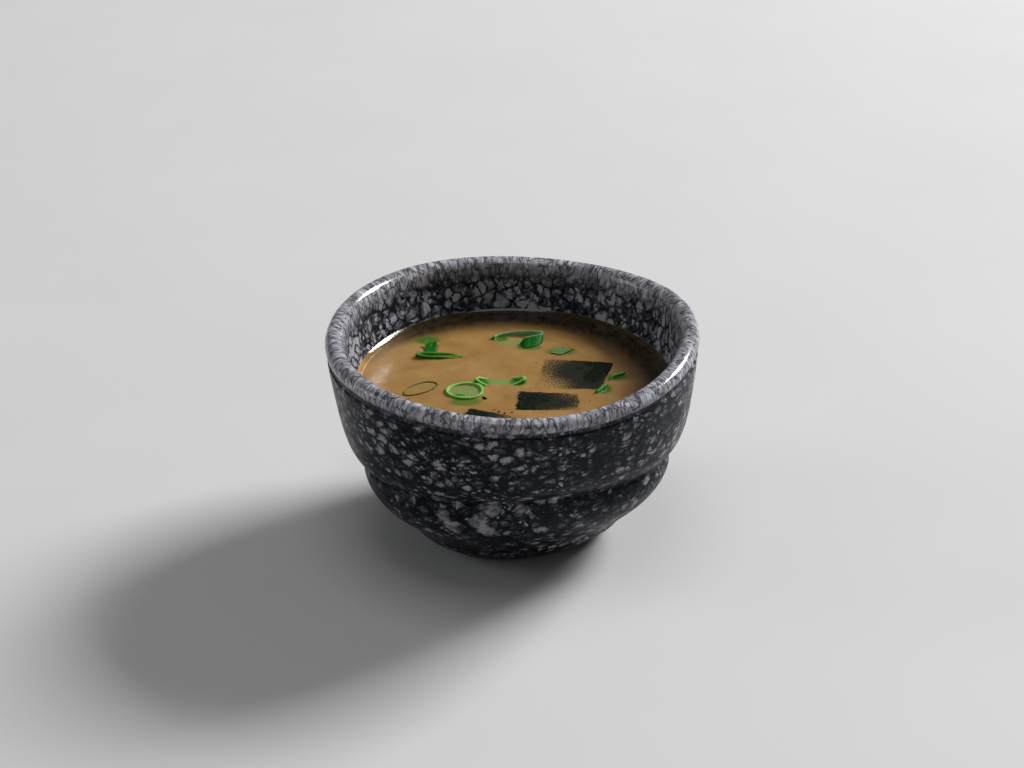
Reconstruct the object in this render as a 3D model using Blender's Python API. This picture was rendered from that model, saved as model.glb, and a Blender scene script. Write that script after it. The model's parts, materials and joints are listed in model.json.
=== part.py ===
"""A bowl of miso soup: a stepped stoneware bowl, the soup in it, and nori and scallion afloat.

Everything is in metres with +Z up. The origin is at the middle of the bowl's box, on the plane
that the bowl stands on. +X is to the right and -Y is the front.
"""
import math

import bmesh
import bpy
from mathutils import Vector
from mathutils.geometry import interpolate_bezier

MM = 0.001
TOUCH_GAP = 0.3 * MM                # left between two pieces that touch

# The bowl's turned outline, given as (radius, height).
FOOT_RADIUS = 24.8 * MM             # where the base band meets the table
FOOT_RING_WIDTH = 3.4 * MM
FOOT_RECESS = 1.5 * MM              # how far the middle of the underside stands clear
BASE_BAND = ((25.4, 0.2), (31.2, 4.6), (33.4, 7.7))
LOWER_BAND = ((33.4, 7.7), (42.4, 16.7), (46.2, 23.4), (46.7, 27.6), (45.7, 29.2))
UPPER_BAND = ((45.7, 29.2), (50.7, 34.7), (53.9, 43.0), (57.0, 57.6), (56.0, 59.4))
HEEL_HEIGHT = 7.7 * MM              # groove between the base and the lower band
WAIST_HEIGHT = 29.2 * MM            # groove between the lower and the upper band
LIP_RADIUS = 55.4 * MM              # highest line of the lip
RIM_HEIGHT = 65.6 * MM
LIP_OUTER = 2.5 * MM                # roundness of the lip's outer side
LIP_INNER = 3.3 * MM                # roundness of its inner side
INNER_WALL = ((52.1, 62.3), (51.0, 57.0), (48.6, 49.8), (45.2, 40.0), (39.6, 28.0),
              (31.4, 17.4), (19.5, 10.4), (8.0, 8.3), (0.0, 8.0))

# The bowl is hand shaped, so it isn't quite round and its rim isn't quite level.
RIM_OVAL = 0.0455                   # the rim is narrower across X and longer along Y, as a share
BASE_OVAL = 0.0186                  # the base is the other way round
BASE_LOBES = 0.041                  # three soft lobes round the base, as a share
LOBE_TURN = 0.17                    # radians
RIM_SADDLE = 1.3 * MM               # the rim rises at its sides and dips front and back
RIM_TILT = 0.6 * MM                 # the back of the rim is higher
RIM_WAVE = 0.7 * MM
WAIST_SADDLE = 2.2 * MM             # the waist groove dips at its sides and rises front and back
WAIST_TILT = 0.6 * MM               # its right side is higher

# Soup
SOUP_LEVEL = 49.1 * MM
MENISCUS_RISE = 0.9 * MM            # the soup climbs the wall
MENISCUS_REACH = 1.3 * MM
MENISCUS_STEPS = (0.0, 0.7, 1.6, 3.0, 6.0)

# Garnish
NORI_THICKNESS = 0.36 * MM
NORI_LIFT = 0.22 * MM               # how far a sheet's middle stands over the soup
LEAF_LIFT = 0.45 * MM
NORI_RIPPLE = 0.12 * MM
LEAF_THICKNESS = 0.5 * MM
STRIP_WALL = 1.3 * MM               # wall of the split slice

# Mesh
SIDES = 48                          # round the bowl and the soup
CURVE_STEPS = 2                     # for each stretch of a smooth outline
LIP_STEPS = 3                       # for each quarter of the lip
RING_SIDES = 20
SHEET_CELLS = 5

# Nori: corners front left, front right, back right and back left in millimetres, and how far
# each corner dips under the soup.
NORI = {
    "nori_right": (((6.5, -8.3), (25.9, -9.3), (30.8, 8.9), (10.1, 12.5)), (2.8, 0.5, 0.0, 1.3)),
    "nori_front": (((0.4, -22.3), (19.8, -23.2), (19.5, -12.3), (1.5, -10.3)), (0.2, 1.5, 1.2, 0.1)),
    "nori_edge": (((-15.8, -31.0), (-1.6, -35.0), (1.4, -27.2), (-12.6, -21.0)), (0.4, 1.3, 1.5, 0.0)),
}
# Flat scraps of scallion leaf, in the same form.
LEAF_CHIPS = {
    "scallion_leaf": (((11.4, 16.6), (15.4, 14.9), (20.0, 20.2), (12.4, 20.2)), (0.6, 0.4, 0.7, 0.5)),
    "scallion_chip": (((-27.0, 18.6), (-23.8, 18.6), (-23.4, 24.0), (-27.2, 24.0)), (0.3, 0.3, -0.9, -0.9)),
}
# Scallion slices: middle and half sizes of the foot line in millimetres, then what differs.
# shift and rim_half move and resize the rim line, so the wall leans. tip lifts the rim
# towards one side, and curl lifts both of its ends.
RINGS = {
    "scallion_back": dict(
        middle=(1.3, 25.2), half=(8.0, 5.0), shift=(0.5, 2.0), rim_half=(7.6, 3.4), wall=0.9,
        depth=0.5, foot_tip=0.8, foot_toward=300, rise=1.5, tip=0.7, toward=335),
    "scallion_left": dict(
        middle=(-22.4, 15.2), half=(7.0, 2.0), wall=0.9, depth=1.3, rise=0.4, tip=0.6, toward=180),
    "scallion_ring": dict(
        middle=(-14.0, -9.8), half=(5.3, 5.1), wall=1.4, depth=2.6, rise=0.35, tip=0.1, toward=80),
    "scallion_band": dict(middle=(-3.6, -3.4), half=(7.3, 2.6), wall=1.1, depth=1.5, rise=0.45, curl=0.7),
    "scallion_hoop": dict(middle=(-27.3, -7.4), half=(5.9, 3.0), turn=42, wall=0.5, depth=1.2, rise=0.08),
}
# A split slice that lies as an open strip: its line in millimetres, and its top's height.
STRIP_LINE = ((33.7, 0.9), (29.9, -2.2), (28.5, -5.0), (27.8, -8.0), (24.8, -12.0))
STRIP_TOP = (0.6, 0.9, -0.5, 1.0, 0.5)
STRIP_DEPTH = 1.4

# Colours are linear red, green and blue.
STONE = dict(name="stoneware", colour=(0.20, 0.20, 0.22), roughness=0.32)
BROTH = dict(name="miso_broth", colour=(0.42, 0.23, 0.08), roughness=0.12)
NORI_DARK = dict(name="nori", colour=(0.020, 0.025, 0.018), roughness=0.45)
LEAF = dict(name="scallion", colour=(0.14, 0.34, 0.07), roughness=0.35)


def make_material(name, colour, roughness):
    """A Principled material with one colour and no metal in it."""
    material = bpy.data.materials.new(name)
    material.use_nodes = True
    shader = material.node_tree.nodes["Principled BSDF"]
    shader.inputs["Base Color"].default_value = (*colour, 1.0)
    shader.inputs["Roughness"].default_value = roughness
    shader.inputs["Metallic"].default_value = 0.0
    return material


def add_object(name, bm, material):
    """Put a bmesh into the scene as one named object."""
    mesh = bpy.data.meshes.new(name)
    bm.to_mesh(mesh)
    bm.free()
    if material:
        mesh.materials.append(material)
    mesh.shade_smooth()
    mesh.set_sharp_from_angle(angle=math.radians(40))
    thing = bpy.data.objects.new(name, mesh)
    bpy.context.scene.collection.objects.link(thing)
    return thing


def smooth_line(knots, steps=CURVE_STEPS):
    """Points on a smooth line through the knots, which are given in millimetres."""
    knots = [Vector((radius, 0.0, height)) * MM for radius, height in knots]
    line = [knots[0]]
    for i, (start, end) in enumerate(zip(knots, knots[1:])):
        before = knots[max(i - 1, 0)]
        after = knots[min(i + 2, len(knots) - 1)]
        lead = start + (end - before) / 6
        trail = end - (after - start) / 6
        line += interpolate_bezier(start, lead, trail, end, steps + 1)[1:]
    return line


def lip_line():
    """The lip from its outer side over the top to the inner wall."""
    line = []
    for i in range(-2, LIP_STEPS):
        angle = math.radians(90) * i / LIP_STEPS
        line.append(Vector((
            LIP_RADIUS + LIP_OUTER * math.cos(angle),
            0.0,
            RIM_HEIGHT - LIP_OUTER + LIP_OUTER * math.sin(angle))))
    for i in range(LIP_STEPS):
        angle = math.radians(90) * i / LIP_STEPS
        line.append(Vector((
            LIP_RADIUS - LIP_INNER * math.sin(angle),
            0.0,
            RIM_HEIGHT - LIP_INNER + LIP_INNER * math.cos(angle))))
    return line


def rim_lift(angle):
    """How far the rim stands over its mean height on one side."""
    lift = RIM_TILT * math.sin(angle) + RIM_SADDLE * math.cos(2 * angle)
    return lift + RIM_WAVE * math.cos(3 * angle)


def waist_lift(angle):
    """How far the waist groove stands over its mean height on one side."""
    return WAIST_TILT * math.cos(angle) - WAIST_SADDLE * math.cos(2 * angle)


def hand_shape(point):
    """Where a point of the round, level bowl lies on the real, slightly uneven one."""
    x, y, z = point
    angle = math.atan2(y, x)
    up = z / RIM_HEIGHT
    swell = 1.0 - up * RIM_OVAL * math.cos(2 * angle)
    lobes = BASE_LOBES * math.cos(3 * (angle + LOBE_TURN)) + BASE_OVAL * math.cos(2 * angle)
    swell += (1.0 - up) * lobes
    if z < WAIST_HEIGHT:
        share = max(0.0, (z - HEEL_HEIGHT) / (WAIST_HEIGHT - HEEL_HEIGHT))
        lift = share * waist_lift(angle)
    else:
        share = (z - WAIST_HEIGHT) / (RIM_HEIGHT - WAIST_HEIGHT)
        lift = share * rim_lift(angle) + (1.0 - share) * waist_lift(angle)
    return Vector((x * swell, y * swell, z + lift))


def level_shape(point, wall):
    """Fit a point of the soup into the uneven bowl. The surface stays level, the rest doesn't."""
    x, y, z = point
    if z < SOUP_LEVEL:
        return hand_shape(point)
    angle = math.atan2(y, x)
    waist = waist_lift(angle)
    steepness = (rim_lift(angle) - waist) / (RIM_HEIGHT - WAIST_HEIGHT)
    source = (z - waist + steepness * WAIST_HEIGHT) / (1.0 + steepness)
    scale = wall_radius(wall, source) / wall_radius(wall, z)
    return hand_shape((x * scale, y * scale, source))


def wall_radius(wall, height):
    """The inner wall's radius at one height."""
    for upper, lower in zip(wall, wall[1:]):
        if lower.z <= height <= upper.z:
            return upper.lerp(lower, (upper.z - height) / (upper.z - lower.z)).x
    return 0.0


def turned_bmesh(line):
    """Turn an outline that starts and ends on the axis into a closed body."""
    bm = bmesh.new()
    verts = [bm.verts.new(point) for point in line]
    edges = [bm.edges.new(pair) for pair in zip(verts, verts[1:])]
    bmesh.ops.spin(
        bm, geom=verts + edges, cent=(0, 0, 0), axis=(0, 0, 1), angle=math.tau,
        steps=SIDES, use_merge=True)
    bmesh.ops.remove_doubles(bm, verts=bm.verts[:], dist=0.01 * MM)
    bmesh.ops.recalc_face_normals(bm, faces=bm.faces[:])
    return bm


def make_bowl(material):
    """The bowl: foot ring, three bands, round lip and a plain inside."""
    ring_inside = FOOT_RADIUS - FOOT_RING_WIDTH
    underside = [
        Vector((0.0, 0.0, FOOT_RECESS)),
        Vector((ring_inside - FOOT_RECESS, 0.0, FOOT_RECESS)),
        Vector((ring_inside, 0.0, 0.0)),
        Vector((FOOT_RADIUS, 0.0, 0.0)),
    ]
    bands = smooth_line(BASE_BAND) + smooth_line(LOWER_BAND)[1:] + smooth_line(UPPER_BAND)[1:]
    bm = turned_bmesh(underside + bands + lip_line() + smooth_line(INNER_WALL))
    for vert in bm.verts:
        vert.co = hand_shape(vert.co)
    return add_object("bowl", bm, material)


def moved_in(line, distance):
    """The inner wall's line moved towards the inside of the bowl."""
    result = []
    for i, point in enumerate(line):
        along = line[min(i + 1, len(line) - 1)] - line[max(i - 1, 0)]
        inward = Vector((along.z, 0.0, -along.x)).normalized()
        result.append(point + inward * distance)
    result[-1].x = 0.0
    return result


def make_soup(material):
    """The soup, from the bowl's floor up to its level, a little higher where it wets the wall."""
    wall = moved_in(smooth_line(INNER_WALL), TOUCH_GAP)
    top = SOUP_LEVEL + MENISCUS_RISE
    edge = Vector((wall_radius(wall, top), 0.0, top))
    below = [point for point in wall if point.z < top]
    surface = [Vector((0.0, 0.0, SOUP_LEVEL))]
    for step in reversed(MENISCUS_STEPS[1:]):
        distance = step * MM
        climb = MENISCUS_RISE * math.exp(-distance / MENISCUS_REACH)
        surface.append(Vector((edge.x - distance, 0.0, SOUP_LEVEL + climb)))
    bm = turned_bmesh(surface + [edge] + below)
    for vert in bm.verts:
        vert.co = level_shape(vert.co, wall)
    return add_object("soup", bm, material)


def add_solidify(thing, thickness):
    """Give a sheet its thickness, half on each side."""
    shell = thing.modifiers.new("thickness", "SOLIDIFY")
    shell.thickness = thickness
    shell.offset = 0.0
    shell.use_even_offset = True


def make_sheet(name, corners, dips, lift, thickness, material, grow=0.0):
    """A thin sheet on the soup between four corners, whose corners dip by so many millimetres."""
    front_left, front_right, back_right, back_left = [Vector(corner) * MM for corner in corners]
    width = (front_right - front_left).length
    depth = (back_left - front_left).length
    bm = bmesh.new()
    bmesh.ops.create_grid(bm, x_segments=SHEET_CELLS, y_segments=SHEET_CELLS, size=0.5)
    for vert in bm.verts:
        u = vert.co.x * (1 + 2 * grow / width) + 0.5
        v = vert.co.y * (1 + 2 * grow / depth) + 0.5
        flat = front_left.lerp(front_right, u).lerp(back_left.lerp(back_right, u), v)
        shares = ((1 - u) * (1 - v), u * (1 - v), u * v, (1 - u) * v)
        dip = sum(share * abs(share) * depth_mm for share, depth_mm in zip(shares, dips))
        ripple = NORI_RIPPLE * math.sin(9 * u + 2 * v) * math.cos(7 * v - 3 * u)
        vert.co = (flat.x, flat.y, SOUP_LEVEL + lift - dip * MM + ripple)
    sheet = add_object(name, bm, material)
    add_solidify(sheet, thickness + 2 * grow)
    return sheet


def make_band(name, foot, rim, closed, thickness, material, grow=0.0):
    """A wall of leaf between its foot line and its rim line."""
    bm = bmesh.new()
    edges = []
    for line, stretch in ((foot, -grow), (rim, grow)):
        verts = [bm.verts.new(point + Vector((0.0, 0.0, stretch))) for point in line]
        pairs = list(zip(verts, verts[1:]))
        if closed:
            pairs.append((verts[-1], verts[0]))
        edges += [bm.edges.new(pair) for pair in pairs]
    bmesh.ops.bridge_loops(bm, edges=edges)
    bmesh.ops.recalc_face_normals(bm, faces=bm.faces[:])
    band = add_object(name, bm, material)
    add_solidify(band, thickness + 2 * grow)
    return band


def make_ring(name, material, middle, half, wall, depth, rise, shift=(0.0, 0.0), rim_half=None,
              turn=0.0, foot_tip=0.0, foot_toward=0.0, tip=0.0, toward=0.0, curl=0.0, grow=0.0):
    """One slice of scallion: a flattened ring that stands partly in the soup."""
    turn = math.radians(turn)
    foot = []
    rim = []
    for i in range(RING_SIDES):
        angle = math.tau * i / RING_SIDES
        for line, size, offset in ((foot, half, (0.0, 0.0)), (rim, rim_half or half, shift)):
            x = size[0] * math.cos(angle)
            y = size[1] * math.sin(angle)
            line.append(Vector((
                middle[0] + offset[0] + x * math.cos(turn) - y * math.sin(turn),
                middle[1] + offset[1] + x * math.sin(turn) + y * math.cos(turn),
                0.0)))
        foot[-1].z = -depth + foot_tip * math.cos(angle - math.radians(foot_toward))
        rim[-1].z = rise + tip * math.cos(angle - math.radians(toward)) + curl * math.cos(2 * angle)
    level = Vector((0.0, 0.0, SOUP_LEVEL))
    foot = [point * MM + level for point in foot]
    rim = [point * MM + level for point in rim]
    return make_band(name, foot, rim, True, wall * MM, material, grow)


def make_strip(name, material, grow=0.0):
    """The split slice, open along its length."""
    rim = [Vector((x, y, 0.0)) * MM for x, y in STRIP_LINE]
    for end, neighbour in ((0, 1), (-1, -2)):
        rim[end] += (rim[end] - rim[neighbour]).normalized() * grow
    foot = [point.copy() for point in rim]
    for point, low, top in zip(rim, foot, STRIP_TOP):
        point.z = SOUP_LEVEL + top * MM
        low.z = SOUP_LEVEL - STRIP_DEPTH * MM
    return make_band(name, foot, rim, False, STRIP_WALL, material, grow)


def make_garnish(nori, leaf, grow=0.0, prefix=""):
    """Every floating piece, or with grow the slightly larger cutters that make room for them."""
    pieces = []
    for name, (corners, dips) in NORI.items():
        pieces.append(make_sheet(prefix + name, corners, dips, NORI_LIFT, NORI_THICKNESS, nori, grow))
    for name, (corners, dips) in LEAF_CHIPS.items():
        pieces.append(make_sheet(prefix + name, corners, dips, LEAF_LIFT, LEAF_THICKNESS, leaf, grow))
    for name, sizes in RINGS.items():
        pieces.append(make_ring(prefix + name, leaf, grow=grow, **sizes))
    pieces.append(make_strip(prefix + "scallion_strip", leaf, grow))
    return pieces


def cut_out(thing, cutters):
    """Cut each cutter's shape out of the thing, and hide the cutter."""
    for cutter in cutters:
        cutter.hide_render = True
        cutter.display_type = "WIRE"
        cut = thing.modifiers.new(cutter.name, "BOOLEAN")
        cut.operation = "DIFFERENCE"
        cut.object = cutter
        cut.solver = "MANIFOLD"     # the exact solver fails on the back slice's leaning wall


def main():
    for thing in list(bpy.data.objects):
        bpy.data.objects.remove(thing, do_unlink=True)
    stone = make_material(**STONE)
    broth = make_material(**BROTH)
    nori = make_material(**NORI_DARK)
    leaf = make_material(**LEAF)
    make_bowl(stone)
    soup = make_soup(broth)
    make_garnish(nori, leaf)
    cut_out(soup, make_garnish(None, None, grow=TOUCH_GAP, prefix="room_for_"))


main()
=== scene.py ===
# %% [markdown]
# # A bowl of miso soup
#
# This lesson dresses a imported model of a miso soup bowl. The model gives the bowl, the soup and
# eleven bits of garnish at their true size, but with few faces and plain colours. Here each one
# is made again with a finer mesh, and gets a finish that is built from nodes.
#
# Lengths are in metres, up is +Z and the front is -Y. Small sizes are written in millimetres and
# multiplied by MM.

# %% Load the model
import json
import math
import random

import bmesh
import bpy
from mathutils import Matrix, Vector, kdtree, noise
from mathutils.geometry import interpolate_bezier


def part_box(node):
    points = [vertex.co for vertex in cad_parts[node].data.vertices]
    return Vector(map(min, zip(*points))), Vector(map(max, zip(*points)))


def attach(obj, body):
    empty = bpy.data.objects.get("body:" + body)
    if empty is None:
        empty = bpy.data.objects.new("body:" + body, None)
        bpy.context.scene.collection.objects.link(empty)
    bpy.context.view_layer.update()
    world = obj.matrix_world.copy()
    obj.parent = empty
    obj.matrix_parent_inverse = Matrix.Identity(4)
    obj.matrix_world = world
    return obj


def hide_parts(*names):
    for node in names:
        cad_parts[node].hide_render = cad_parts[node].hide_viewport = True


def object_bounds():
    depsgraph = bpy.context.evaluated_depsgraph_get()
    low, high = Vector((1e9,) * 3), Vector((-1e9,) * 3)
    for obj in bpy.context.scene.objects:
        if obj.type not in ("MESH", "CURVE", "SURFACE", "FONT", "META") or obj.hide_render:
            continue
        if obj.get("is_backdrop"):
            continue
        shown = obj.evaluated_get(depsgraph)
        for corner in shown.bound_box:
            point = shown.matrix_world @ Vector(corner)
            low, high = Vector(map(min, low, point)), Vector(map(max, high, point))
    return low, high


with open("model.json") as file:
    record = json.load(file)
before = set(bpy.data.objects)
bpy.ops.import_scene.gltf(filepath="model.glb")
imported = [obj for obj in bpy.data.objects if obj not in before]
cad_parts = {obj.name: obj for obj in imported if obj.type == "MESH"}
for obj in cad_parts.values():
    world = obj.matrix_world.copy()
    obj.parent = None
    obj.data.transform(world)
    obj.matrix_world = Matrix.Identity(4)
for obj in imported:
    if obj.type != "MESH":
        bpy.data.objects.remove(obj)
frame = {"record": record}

MM = 0.001
CAD_LOW, CAD_HIGH = (Vector(corner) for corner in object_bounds())
SLOTS = {part["node"]: part["material_slot"] for part in frame["record"]["subparts"]}
print("the model is", [round(size / MM, 1) for size in CAD_HIGH - CAD_LOW], "mm")


def ease(value, low, high):
    """0 below low, 1 above high, and a soft step between them. High may be under low."""
    share = min(1.0, max(0.0, (value - low) / (high - low)))
    return share * share * (3.0 - 2.0 * share)


def add_piece(name, bm, slot, material, *nodes):
    """Make a bmesh a finished piece that stands for these nodes of the model."""
    mesh = bpy.data.meshes.new(name)
    bm.to_mesh(mesh)
    bm.free()
    mesh.shade_smooth()
    mesh.materials.append(material)
    piece = bpy.data.objects.new(name, mesh)
    bpy.context.scene.collection.objects.link(piece)
    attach(piece, "root")
    if nodes:
        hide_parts(*nodes)
    print(f"{name}: {sum(len(face.vertices) - 2 for face in mesh.polygons)} triangles")
    return piece


# %% [markdown]
# ## Wiring materials
#
# A node material is a small machine: textures make masks, the masks mix colours, and the shader
# takes the result. These helpers add one node each, so that a material reads from top to bottom
# like a recipe. Every pattern reads Object coordinates in millimetres or a named attribute, so
# it stays where it is when the view changes.

# %% Helpers for nodes
def wire(tree, kind, sockets=None, **settings):
    """Add a node, set its options, and fill its sockets with values or links."""
    made = tree.nodes.new(kind)
    for key, value in settings.items():
        setattr(made, key, value)
    for key, value in (sockets or {}).items():
        if isinstance(value, bpy.types.NodeSocket):
            tree.links.new(value, made.inputs[key])
        else:
            made.inputs[key].default_value = value
    return made


def maths(tree, operation, *values):
    return wire(tree, "ShaderNodeMath", dict(enumerate(values)), operation=operation).outputs[0]


def vectors(tree, operation, *values):
    return wire(tree, "ShaderNodeVectorMath", dict(enumerate(values)), operation=operation).outputs[0]


def step(tree, value, low, high, start=0.0, end=1.0):
    """Ease from start to end while the value goes from low to high."""
    sockets = {"Value": value, "From Min": low, "From Max": high, "To Min": start, "To Max": end}
    return wire(tree, "ShaderNodeMapRange", sockets, interpolation_type="SMOOTHSTEP").outputs[0]


def blend(tree, share, first, second, mode="MIX"):
    """Mix two colours. The numbers are the colour sockets of the Mix node."""
    mix = wire(tree, "ShaderNodeMix", {0: share, 6: first, 7: second}, data_type="RGBA", blend_type=mode)
    return mix.outputs[2]


def cloud(tree, vector, size, detail=2.0, roughness=0.5):
    """Soft noise from 0 to 1 whose blobs are about size millimetres across."""
    sockets = {"Vector": vector, "Scale": 1.0 / size, "Detail": detail, "Roughness": roughness}
    return wire(tree, "ShaderNodeTexNoise", sockets).outputs["Fac"]


def warped(tree, vector, size, amount):
    """Push a vector about, so that straight patterns on it go wavy."""
    sockets = {"Vector": vector, "Scale": 1.0 / size, "Detail": 1.0}
    push = wire(tree, "ShaderNodeTexNoise", sockets).outputs["Color"]
    push = vectors(tree, "SUBTRACT", push, (0.5, 0.5, 0.5))
    push = vectors(tree, "MULTIPLY", push, (amount, amount, amount))
    return vectors(tree, "ADD", vector, push)


def attribute(tree, name):
    return wire(tree, "ShaderNodeAttribute", attribute_name=name).outputs["Fac"]


def grey(value, tint=(1.0, 1.0, 1.0)):
    """A linear colour: a grey of this brightness, with a slight tint."""
    return (value * tint[0], value * tint[1], value * tint[2], 1.0)


def ramp(tree, value, *stops):
    """Turn a value into a colour through (position, colour) stops."""
    made = wire(tree, "ShaderNodeValToRGB", {"Fac": value})
    elements = made.color_ramp.elements
    while len(elements) < len(stops):
        elements.new(0.5)
    for element, (position, colour) in zip(elements, stops):
        element.position = position
        element.color = colour
    return made.outputs["Color"]


def new_material(name):
    """A material with its shader and its coordinates in millimetres."""
    material = bpy.data.materials.new(name)
    material.use_nodes = True
    tree = material.node_tree
    here = wire(tree, "ShaderNodeTexCoord").outputs["Object"]
    here = vectors(tree, "MULTIPLY", here, (1.0 / MM, 1.0 / MM, 1.0 / MM))
    return material, tree, tree.nodes["Principled BSDF"], here


def bump(tree, shader, height, depth, strength=1.0):
    """Raise the surface by up to depth where the height is 1."""
    sockets = {"Height": height, "Distance": depth, "Strength": strength}
    tree.links.new(wire(tree, "ShaderNodeBump", sockets).outputs["Normal"], shader.inputs["Normal"])


# %% [markdown]
# ## Two shared effects
#
# Stone cells is a mosaic of pebbles with dark veins between them. Each Voronoi cell gives one
# pebble, bright at its middle and fading out before the cell's straight edge, so pebbles look
# rounded. The distance to the nearest edge gives the veins. The glaze uses it at three sizes.
# Grain is a fine salt-and-pepper speckle, which nori, clay and broth all have in some measure.

# %% Node groups
def new_group(name, inputs, outputs):
    """An empty node group with named sockets, and the two nodes that reach them."""
    group = bpy.data.node_groups.new(name, "ShaderNodeTree")
    for socket, value in inputs.items():
        kind = "NodeSocketVector" if value is None else "NodeSocketFloat"
        made = group.interface.new_socket(socket, in_out="INPUT", socket_type=kind)
        if value is not None:
            made.default_value = value
    for socket in outputs:
        group.interface.new_socket(socket, in_out="OUTPUT", socket_type="NodeSocketFloat")
    return group, group.nodes.new("NodeGroupInput").outputs, group.nodes.new("NodeGroupOutput").inputs


def make_stone_cells():
    """Rounded pebbles of about Size millimetres, and veins of Vein times that width between them."""
    inputs = {"Vector": None, "Size": 3.0, "Vein": 0.1}
    group, given, result = new_group("stone_cells", inputs, ("Pebbles", "Veins"))
    spacing = wire(group, "ShaderNodeCombineXYZ", {0: given["Size"], 1: given["Size"], 2: given["Size"]})
    place = vectors(group, "DIVIDE", given["Vector"], spacing.outputs[0])
    sockets = {"Vector": place, "Scale": 1.0, "Smoothness": 0.30}
    cells = wire(group, "ShaderNodeTexVoronoi", sockets, feature="SMOOTH_F1")
    edges = wire(group, "ShaderNodeTexVoronoi", {"Vector": place, "Scale": 1.0}, feature="DISTANCE_TO_EDGE")
    tone = wire(group, "ShaderNodeSeparateColor", {"Color": cells.outputs["Color"]}).outputs[0]
    crown = step(group, cells.outputs["Distance"], 0.98, 0.08)
    wobble = maths(group, "MULTIPLY", cloud(group, given["Vector"], 0.9), given["Vein"])
    depth = maths(group, "SUBTRACT", edges.outputs["Distance"], wobble)
    pebbles = maths(group, "MULTIPLY", crown, step(group, tone, 0.25, 0.80, 0.38, 1.0))
    group.links.new(pebbles, result["Pebbles"])
    group.links.new(step(group, depth, 0.0, given["Vein"], 1.0, 0.0), result["Veins"])
    return group


def make_grain():
    """Fine speckle of about Size millimetres: light grains, dark grains and their height."""
    group, given, result = new_group("grain", {"Vector": None, "Size": 0.3}, ("Light", "Dark", "Height"))
    fineness = maths(group, "DIVIDE", 1.0, given["Size"])
    sockets = {"Vector": given["Vector"], "Scale": fineness, "Detail": 3.0, "Roughness": 0.65}
    speck = wire(group, "ShaderNodeTexNoise", sockets).outputs["Fac"]
    group.links.new(step(group, speck, 0.55, 0.72), result["Light"])
    group.links.new(step(group, speck, 0.45, 0.30), result["Dark"])
    group.links.new(speck, result["Height"])
    return group


STONE_CELLS = make_stone_cells()
GRAIN = make_grain()


def cells_at(tree, vector, size, vein):
    made = wire(tree, "ShaderNodeGroup", None, node_tree=STONE_CELLS)
    tree.links.new(vector, made.inputs["Vector"])
    made.inputs["Size"].default_value = size
    made.inputs["Vein"].default_value = vein
    return made.outputs


def grain_at(tree, vector, size):
    made = wire(tree, "ShaderNodeGroup", None, node_tree=GRAIN)
    tree.links.new(vector, made.inputs["Vector"])
    made.inputs["Size"].default_value = size
    return made.outputs


print("shared effects:", STONE_CELLS.name, GRAIN.name)

# %% [markdown]
# ## The stone glaze
#
# The bowl looks like dark granite: grey pebbles of many tones, 1.5 to 4 mm across, in a broken
# web of black veins. On the lip the glaze has run thin, so it is paler and glossier
# there, and the veins are drawn out into short streaks. A few large pale patches sit low on the
# front. The grooves at the sides and the back are darkened with painted shade, and the foot ring is bare
# clay.
#
# Vertex attributes say where the lip, the inner wall, the grooves and the bare clay are, because
# only the outline knows that. Everything else is worked out from the place in space, so the
# mosaic has no seam.

# %% Stoneware
VEIN_BLACK = grey(0.006, (0.78, 1.0, 1.35))
PALE_PATCHES = (                    # centre in millimetres and reach
    ((-19.6, -41.9, 25.9), 3.8), ((-17.6, -41.4, 22.4), 3.6), ((-10.4, -45.1, 25.2), 4.0),
    ((-7.8, -44.2, 21.4), 4.0), ((-6.3, -47.4, 30.0), 4.4), ((2.4, -47.6, 29.4), 3.2))
# paler glaze on the flanks and the back: partly a paler pattern, partly painted light where the lamps fall
PALE_AND_LIT_FLANKS = (((56.0, -4.0, 46.0), 34.0), ((-56.0, -2.0, 48.0), 26.0), ((0.0, 56.0, 40.0), 30.0))
RUST_SPOTS = (
    ((50.2, 22.5, 65.0), 2.6), ((46.0, 33.0, 64.6), 2.4), ((-54.5, 4.0, 66.0), 1.8))


def near_spots(tree, here, spots):
    """1 at the middle of each spot, fading to 0 at its reach."""
    total = 0.0
    for centre, reach in spots:
        gap = wire(tree, "ShaderNodeVectorMath", {0: here, 1: centre}, operation="DISTANCE").outputs["Value"]
        total = maths(tree, "ADD", total, step(tree, gap, reach, reach * 0.45))
    return total


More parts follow.
